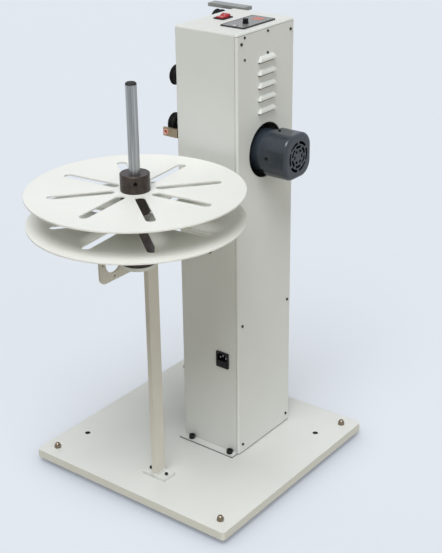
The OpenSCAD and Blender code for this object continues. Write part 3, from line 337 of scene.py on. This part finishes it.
def turned_metal(name, colour, lines, rough=0.3, metallic=1.0):
    """Turned or drawn metal: fine tool lines, bright edges and faint stains."""
    box = Paintbox(name)
    rounded, at_edge = box.edges(radius=0.6 * MM)
    tone = box.mottled(colour, darker=0.85, lighter=1.08, scale=35.0, detail=4.0)
    bright = box.mix(at_edge, tone, shade(colour, 1.35))
    cuts = box.noise(scale=lines, detail=3.0, roughness=0.7)
    gloss = box.ramp(cuts, rough - 0.08, rough + 0.12)
    skin = box.bump(cuts, strength=0.12, distance=0.15 * MM, normal=rounded)
    return box.finish(bright, gloss, skin, Metallic=metallic)


def cast_metal(name, colour, rough):
    """Blackened or browned steel: mottled, with a dull sheen and rubbed edges."""
    box = Paintbox(name)
    rounded, at_edge = box.edges(radius=0.8 * MM)
    tone = box.mottled(colour, darker=0.65, lighter=1.35, scale=70.0, detail=5.0, roughness=0.65)
    worn = box.mix(at_edge, tone, shade(colour, 2.2))
    gloss = box.uneven(rough, less=0.12, more=0.1, scale=160.0)
    grain = box.noise(scale=520.0, detail=3.0)
    skin = box.bump(grain, strength=0.12, distance=0.2 * MM, normal=rounded)
    return box.finish(worn, gloss, skin, Metallic=0.55)


def moulded(name, colour, rough, grain=0.12, edge=1.5, coat=0.0, shine=0.5):
    """Moulded plastic or rubber: fine grain, faint clouding, and edges in their own shade."""
    box = Paintbox(name)
    rounded, at_edge = box.edges(radius=0.5 * MM)
    tone = box.mottled(colour, darker=0.85, lighter=1.1, scale=60.0, detail=3.0)
    worn = box.mix(at_edge, tone, shade(colour, edge))
    gloss = box.uneven(rough, less=0.07, more=0.1, scale=240.0)
    skin = box.bump(box.noise(scale=1500.0), strength=grain, distance=0.1 * MM, normal=rounded)
    return box.finish(worn, gloss, skin, Coat_Weight=coat, Specular_IOR_Level=shine)


# Materials by slot, and those of single nodes

# Tool lines per metre along X, Y and Z
ROUND_LINES = (8.0, 8.0, 1400.0)
EVEN_LINES = (300.0, 300.0, 300.0)
LONG_LINES = (12.0, 900.0, 900.0)
FACED_LINES = (900.0, 40.0, 40.0)

MATERIALS = {
    "cream_paint": powder_coat("cream_powder_coat", CREAM),
    "bright_steel": turned_metal("turned_steel", srgb(158, 160, 163), ROUND_LINES, rough=0.34),
    "brown_steel": cast_metal("browned_steel", srgb(63, 54, 49), rough=0.38),
    "black_steel": cast_metal("black_oxide_steel", srgb(34, 33, 33), rough=0.45),
    "plated_steel": turned_metal("yellowed_plate_steel", srgb(142, 129, 112), EVEN_LINES, rough=0.2),
    "zinc_steel": turned_metal("dull_zinc_steel", srgb(164, 148, 122), EVEN_LINES, rough=0.4),
    "motor_paint": enamel("motor_enamel", srgb(48, 56, 64), rough=0.2),
    "grey_metal": turned_metal("satin_grey_metal", srgb(142, 144, 140), LONG_LINES, metallic=0.35),
    "bare_aluminium": turned_metal("machined_aluminium", srgb(186, 188, 190), FACED_LINES, rough=0.36),
    "black_plastic": moulded("black_moulded_plastic", srgb(16, 15, 14), rough=0.45, shine=0.25),
    "dark_plastic": moulded("dark_grey_plastic", srgb(42, 43, 42), rough=0.42, shine=0.4),
    "face_film": moulded("grey_face_film", srgb(122, 124, 120), rough=0.26, grain=0.05, edge=1.1),
    "red_plastic": moulded("red_rocker_plastic", srgb(172, 16, 28), rough=0.3, grain=0.02, edge=1.3),
    "white_plastic": moulded("white_slider_plastic", srgb(226, 226, 220), rough=0.3, grain=0.03, edge=1.0),
    "ceramic": moulded("glazed_ceramic", srgb(226, 160, 142), rough=0.22, grain=0.02, edge=1.1, coat=0.5),
    "brass_pins": turned_metal("brass", srgb(205, 178, 110), EVEN_LINES, rough=0.25),
    "board_green": moulded("green_board", srgb(26, 92, 52), rough=0.35, grain=0.05, edge=1.2),
    "black_rubber": moulded("black_rubber", srgb(30, 30, 30), rough=0.72, grain=0.2, edge=1.25),
}

REEL_AXIS = sum(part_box("spindle"), Vector()) / 2
SPINDLE_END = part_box("spindle")[1].z


def disc_coat(name, looks_up):
    """The paint of a reel disc whose inner face looks up or down, that face with wear and painted shade.
    """
    return powder_coat(name, DISC, rough=0.4, shade_layer=rubbed_and_shaded_face(REEL_AXIS, looks_up))


NODE_MATERIALS = {
    # The base plate's upright sides carry painted shade
    "base_plate": powder_coat("base_powder_coat", CREAM, shade_layer=shaded_sides),
    "post": powder_coat("post_powder_coat", srgb(217, 213, 202)),
    "lower_disc": disc_coat("lower_disc_powder_coat", looks_up=True),
    "upper_disc": disc_coat("upper_disc_powder_coat", looks_up=False),
    "fan_cover": enamel("fan_cover_enamel", srgb(52, 59, 67), rough=0.22),
    "fan_cover_screws": cast_metal("dull_black_screw_steel", srgb(10, 10, 11), rough=0.7),
    "spindle": drawn_bar("drawn_steel_bar", srgb(170, 172, 172), SPINDLE_END),
}

NODE_SLOTS = {part["node"]: part["material_slot"] for part in RECORD["subparts"]}
for node_name, node_object in NODES.items():
    finish = NODE_MATERIALS.get(node_name) or MATERIALS[NODE_SLOTS[node_name]]
    node_object.data.materials.clear()
    node_object.data.materials.append(finish)

# Helpers for the pieces that only the scene has

ROUND_STEPS = 48


def joint_place(name):
    """The point that a joint turns about, in metres."""
    joints = RECORD["behaviour"]["joints"]
    return Vector(next(joint["pos_m"] for joint in joints if joint["name"] == name))


def add_piece(name, bm, body, slot_name, material=None, smooth=False):
    """A piece that rides a body, in its slot's material or in one of its own."""
    mesh = bpy.data.meshes.new(name)
    bm.normal_update()
    bm.to_mesh(mesh)
    bm.free()
    for face in mesh.polygons:
        face.use_smooth = smooth
    piece = bpy.data.objects.new(name, mesh)
    bpy.context.scene.collection.objects.link(piece)
    piece.data.materials.append(material or MATERIALS[slot_name])
    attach(piece, body)


def bevelled_slab(bm, low, high, radius, place=Matrix.Identity(4)):
    """A block between two corners, moved by place, with rounded edges."""
    between = Matrix.LocRotScale((low + high) / 2, None, high - low)
    made = bmesh.ops.create_cube(bm, size=1.0, matrix=place @ between)
    edges = dict.fromkeys(edge for vert in made["verts"] for edge in vert.link_edges)
    bmesh.ops.bevel(bm, geom=list(edges), offset=radius, segments=2, profile=0.5, affect="EDGES")


def close_loops(bm, loops):
    """Faces from each loop of points to the next one, all the way round."""
    for loop, after in zip(loops, loops[1:] + loops[:1]):
        for corner, point in enumerate(loop):
            beside = (corner + 1) % len(loop)
            bm.faces.new((point, after[corner], after[beside], loop[beside]))
    bmesh.ops.recalc_face_normals(bm, faces=bm.faces)


def add_ring(bm, middle, inner, outer, low, high):
    """A flat ring or tube about the upright line through middle."""
    corners = ((inner, low), (outer, low), (outer, high), (inner, high))
    loops = []
    for index in range(ROUND_STEPS):
        angle = 2 * math.pi * index / ROUND_STEPS
        way = Vector((math.cos(angle), math.sin(angle), 0.0))
        loops.append([bm.verts.new(middle + way * reach + UP * height) for reach, height in corners])
    close_loops(bm, loops)


def socket_cap(bm, end, radius, height):
    """A low screw head with a six-sided socket, on a shaft's end that looks along -X."""
    socket = radius * 0.5
    chamfer = radius * 0.12
    sink = 0.1 * MM
    half_flat = math.pi / 6
    loops = []
    for index in range(ROUND_STEPS):
        angle = 2 * math.pi * index / ROUND_STEPS
        from_flat = (angle + half_flat) % (2 * half_flat) - half_flat
        wall = socket * math.cos(half_flat) / math.cos(from_flat)
        profile = (
            (wall, -sink),
            (radius, -sink),
            (radius, height - chamfer),
            (radius - chamfer, height),
            (wall + chamfer / 2, height),
            (wall, height - chamfer / 2),
        )
        loop = []
        for reach, out in profile:
            place = Vector((-out, reach * math.cos(angle), reach * math.sin(angle)))
            loop.append(bm.verts.new(end + place))
        loops.append(loop)
    close_loops(bm, loops)


# The pieces that only the scene has


def controller_patch():
    """The plain coloured patch on the controller's face."""
    from_middle = Vector((2 * MM, 30 * MM, 0.0))
    half_size = Vector((11 * MM, 10 * MM, 0.0))
    thick = 0.25 * MM
    low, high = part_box("controller_face")
    middle = (low + high) / 2 + from_middle
    middle.z = high.z
    bm = bmesh.new()
    bevelled_slab(bm, middle - half_size, middle + half_size + UP * thick, radius=0.1 * MM)
    orange = moulded("orange_face_patch", srgb(196, 112, 92), rough=0.36, grain=0.04, edge=1.0)
    add_piece("controller_patch", bm, "frame", "face_film", orange)


def dial_ticks():
    """The ticks round the speed knob, the first, middle and last ones longer."""
    count = 11
    each_long = 5
    sweep = math.radians(300)
    inner = 10.5 * MM
    length = 2.2 * MM
    long_length = 3.2 * MM
    half_wide = 0.4 * MM
    thick = 0.15 * MM
    low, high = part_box("speed_knob")
    centre = (low + high) / 2
    centre.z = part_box("controller_face")[1].z
    bm = bmesh.new()
    for index in range(count):
        angle = sweep * index / (count - 1) - sweep / 2
        outer = inner + (length if index % each_long else long_length)
        place = Matrix.Translation(centre) @ Matrix.Rotation(-angle, 4, "Z")
        start = Vector((-half_wide, inner, 0.0))
        end = Vector((half_wide, outer, thick))
        bevelled_slab(bm, start, end, radius=0.05 * MM, place=place)
    add_piece("dial_ticks", bm, "frame", "white_plastic")


def anchor_hole_shade_linings():
    """Dark linings in the two anchor holes in the base plate: their bare drilled walls, and the painted
    shade inside the holes.
    """
    from_middle = Vector((200 * MM, 147 * MM, 0.0))
    thick = 0.45 * MM
    gap = 0.05 * MM
    short_below = 0.5 * MM
    short_above = 0.4 * MM
    mount = next(mount for mount in RECORD["mounts"] if mount["name"] == "anchor_holes")
    middle = Vector(mount["pos_m"])
    outer = mount["dims"]["hole_r_mm"] * MM - gap
    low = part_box("base_plate")[0].z + short_below
    high = middle.z - short_above
    middle.z = 0.0
    bm = bmesh.new()
    for side in (-1, 1):
        add_ring(bm, middle + from_middle * side, outer - thick, outer, low, high)
    # The black linings paint the shade inside the holes
    add_piece("anchor_hole_shade_linings", bm, "frame", "black_steel", smooth=True)


def foot_weld():
    """The painted weld bead where the post stands on its foot."""
    post_thick = 10 * MM
    post_wide = 30 * MM
    leg = 3.2 * MM
    sink = 0.2 * MM
    pitch = 1.1 * MM
    belly_share = 0.42
    ripples = ((0.09, 2.1), (0.06, 0.37))
    foot_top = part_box("post_foot")[1].z
    post_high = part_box("post")[1]
    left = post_high.x - post_thick
    front = post_high.y - post_wide
    corners = [
        Vector((left, front, foot_top)),
        Vector((post_high.x, front, foot_top)),
        Vector((post_high.x, post_high.y, foot_top)),
        Vector((left, post_high.y, foot_top)),
    ]
    bm = bmesh.new()
    loops = []
    for start, end in zip(corners, corners[1:] + corners[:1]):
        outward = (end - start).normalized().cross(UP)
        steps = max(2, int((end - start).length / pitch))
        for step in range(steps + 1):
            place = start.lerp(end, step / steps)
            swell = leg * (1.0 + sum(share * math.sin(len(loops) * turn) for share, turn in ripples))
            inside = place - outward * sink - UP * sink
            toe = place + outward * swell - UP * sink
            belly = place + (outward + UP) * swell * belly_share
            wall_top = place - outward * sink + UP * swell
            loops.append([bm.verts.new(point) for point in (inside, toe, belly, wall_top)])
    close_loops(bm, loops)
    add_piece("post_foot_weld", bm, "frame", "cream_paint", smooth=True)


def flange_shadow_strips():
    """A thin black strip along the edge of the column's front flange: a painted shadow line where the
    flange meets the base.
    """
    flange_reach = 17 * MM
    cover_gap = 0.5 * MM
    wide = 1.1 * MM
    thick = 0.9 * MM
    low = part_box("column_shell")[0]
    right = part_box("side_cover")[0].x - cover_gap
    back = low.y + flange_reach
    top = low.z + thick
    strips = (
        (Vector((low.x - wide, low.y - wide, low.z)), Vector((right + wide, low.y, top))),
        (Vector((low.x - wide, low.y, low.z)), Vector((low.x, back, top))),
        (Vector((right, low.y, low.z)), Vector((right + wide, back, top))),
    )
    bm = bmesh.new()
    for start, end in strips:
        bevelled_slab(bm, start, end, radius=0.25 * MM)
    # Black strips that stand in for the shadow under the flange
    add_piece("column_flange_shadow", bm, "frame", "black_rubber")


def louvre_lip_shadow():
    """A painted shadow: a dark strip on the cover under the lip of each louvre."""
    count = 5
    pitch = 24.7 * MM
    stand_out = 7 * MM
    first_down = 64 * MM
    half_long = 24 * MM
    drop = 4.6 * MM
    behind_lip = 0.1 * MM
    sink = 0.05 * MM
    thick = 0.12 * MM
    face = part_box("side_cover")[1].x - stand_out
    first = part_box("column_shell")[1].z - first_down
    middle = joint_place("drive_spin").y
    bm = bmesh.new()
    for index in range(count):
        lip = first - index * pitch
        start = Vector((face - sink, middle - half_long, lip - drop))
        end = Vector((face + thick, middle + half_long, lip + behind_lip))
        bevelled_slab(bm, start, end, radius=0.04 * MM)
    # The colour of the painted shadow under the lips
    lip_shadow = moulded("louvre_lip_shadow", srgb(118, 116, 107), rough=0.8, edge=1.0)
    add_piece("louvre_lip_shadow", bm, "frame", "cream_paint", lip_shadow)


def rocker_place(side):
    """Where a mark lies on the rocker at rest: the middle of one half of its hollow top."""
    rest_tilt = math.radians(9.0)
    half_run = 8.5 * MM
    half_rise = 2.0 * MM
    dip = 2.5 * MM
    slope = math.atan2(half_rise, half_run)
    from_pivot = Vector((0.0, side * half_run / 2, dip + half_rise / 2))
    rocker = Matrix.Translation(joint_place("power_rocker")) @ Matrix.Rotation(rest_tilt, 4, "X")
    return rocker @ Matrix.Translation(from_pivot) @ Matrix.Rotation(side * slope, 4, "X")


def rocker_marks():
    """A bar and a ring on the two halves of the rocker, the usual signs for on and off."""
    thick = 0.12 * MM
    bar_half = Vector((0.55 * MM, 2.2 * MM, 0.0))
    ring_inner = 1.5 * MM
    ring_outer = 2.3 * MM
    bar = bmesh.new()
    bevelled_slab(bar, -bar_half, bar_half + UP * thick, radius=0.04 * MM)
    ring = bmesh.new()
    add_ring(ring, Vector(), ring_inner, ring_outer, 0.0, thick)
    for name, bm, side in (("rocker_bar", bar, 1), ("rocker_ring", ring, -1)):
        bmesh.ops.transform(bm, matrix=rocker_place(side), verts=bm.verts)
        add_piece(name, bm, "rocker", "white_plastic")


def shaft_screws():
    """A socket screw in the end of each axle and shaft on the working side; radii in mm."""
    head_height = 2.0 * MM
    ends = (
        ("entry_axle_screw", "guide_axles", "entry_spin", 5.5, "frame"),
        ("rise_axle_screw", "guide_axles", "rise_spin", 5.5, "frame"),
        ("exit_axle_screw", "guide_axles", "exit_spin", 5.5, "frame"),
        ("dancer_axle_screw", "dancer_axle", "dancer_roller_spin", 5.5, "dancer"),
        ("dancer_shaft_screw", "dancer_shaft", "dancer_swing", 6.0, "dancer"),
        ("drive_shaft_screw", "output_shaft", "drive_spin", 5.0, "drive_wheel"),
    )
    for name, node, joint, radius, body in ends:
        end = joint_place(joint)
        end.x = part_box(node)[0].x
        bm = bmesh.new()
        socket_cap(bm, end, radius * MM, head_height)
        add_piece(name, bm, body, "black_steel")


controller_patch()
dial_ticks()
anchor_hole_shade_linings()
foot_weld()
flange_shadow_strips()
louvre_lip_shadow()
rocker_marks()
shaft_screws()

# Stage: floor, light and camera


def floor_material():
    """Pale where it is seen, with a soft shade by the object; duller where it only throws light back."""
    material = bpy.data.materials.new("floor")
    material.use_nodes = True
    nodes = Nodes(material.node_tree)
    shader = nodes.tree.nodes["Principled BSDF"]
    seen = nodes.seen_directly()
    cover = nodes.add("ShaderNodeAmbientOcclusion", samples=8)
    cover.inputs["Distance"].default_value = 150 * MM
    near = nodes.ramp(cover.outputs["AO"], 1.0, 0.0, start=0.3, end=0.97)
    seen_tint = nodes.mix(near, FLOOR_OPEN, FLOOR_NEAR)
    nodes.link(nodes.mix(seen, FLOOR_BOUNCE, seen_tint), shader.inputs["Base Color"])
    shader.inputs["Roughness"].default_value = 0.9
    glow = nodes.add("ShaderNodeEmission")
    nodes.link(nodes.mix(near, GLOW_OPEN, GLOW_NEAR), glow.inputs["Color"])
    glow_share = nodes.combine("MULTIPLY", seen, 0.5)
    surface = nodes.blend(glow_share, shader.outputs["BSDF"], glow.outputs["Emission"])
    nodes.link(surface, nodes.tree.nodes["Material Output"].inputs["Surface"])
    return material


def floor():
    """A level floor that reaches far past the picture."""
    half = 30.0
    mesh = bpy.data.meshes.new("floor")
    corners = [(-half, -half, 0), (half, -half, 0), (half, half, 0), (-half, half, 0)]
    mesh.from_pydata(corners, [], [(0, 1, 2, 3)])
    plane = bpy.data.objects.new("floor", mesh)
    bpy.context.scene.collection.objects.link(plane)
    plane.data.materials.append(floor_material())


def world():
    """A dim warm sky that lights the object, and a pale backdrop where the sky itself is seen."""
    sky = bpy.data.worlds.new("studio")
    bpy.context.scene.world = sky
    sky.use_nodes = True
    nodes = Nodes(sky.node_tree)
    nodes.tree.nodes.clear()

    def background(colour, strength):
        node = nodes.add("ShaderNodeBackground")
        node.inputs["Color"].default_value = colour
        node.inputs["Strength"].default_value = strength
        return node.outputs["Background"]

    lit = background(WARM_SKY, strength=0.17)
    seen = background(BACKDROP, strength=1.0)
    out = nodes.add("ShaderNodeOutputWorld")
    nodes.link(nodes.blend(nodes.seen_directly(), lit, seen), out.inputs["Surface"])


def soft_sun(name, from_place, spread, strength, colour=(1.0, 1.0, 1.0), glare=True):
    """A wide even light from from_place, its spread in degrees; without glare it adds no shine."""
    lamp = bpy.data.lights.new(name, "SUN")
    lamp.angle = math.radians(spread)
    lamp.energy = strength
    lamp.color = colour
    holder = bpy.data.objects.new(name, lamp)
    holder.location = from_place
    holder.visible_glossy = glare
    holder.rotation_mode = "QUATERNION"
    holder.rotation_quaternion = (-Vector(from_place)).to_track_quat("-Z", "Y")
    bpy.context.scene.collection.objects.link(holder)


def camera():
    """The photograph's camera, found by fitting the base, column and reel."""
    focal_px = 1183.65
    image_h = 553
    sensor = 36.0
    place = Vector((1.37760, -1.61708, 1.40903))
    turn = math.radians(37.652)
    drop = math.radians(24.476)
    roll = math.radians(-0.6766)
    ahead = Vector((-math.sin(turn) * math.cos(drop), math.cos(turn) * math.cos(drop), -math.sin(drop)))
    right = ahead.cross(UP).normalized()
    up = right.cross(ahead)
    right_rolled = right * math.cos(roll) + up * math.sin(roll)
    up_rolled = up * math.cos(roll) - right * math.sin(roll)
    data = bpy.data.cameras.new("camera")
    data.sensor_fit = "AUTO"
    data.sensor_width = sensor
    data.lens = focal_px * sensor / image_h
    holder = bpy.data.objects.new("camera", data)
    axes = Matrix((right_rolled, up_rolled, -ahead)).transposed()
    holder.matrix_world = Matrix.Translation(place) @ axes.to_4x4()
    bpy.context.scene.collection.objects.link(holder)
    bpy.context.scene.camera = holder


floor()
world()
soft_sun("key", (0.75, -1.55, 3.1), spread=36.0, strength=2.55, colour=(0.98, 0.99, 1.0))
soft_sun("side_fill", (3.0, -0.5, 1.2), spread=60.0, strength=0.7, glare=False)
soft_sun("back_fill", (-2.6, 1.5, 0.5), spread=60.0, strength=0.85, glare=False)
camera()
bpy.context.scene.view_settings.view_transform = "Standard"
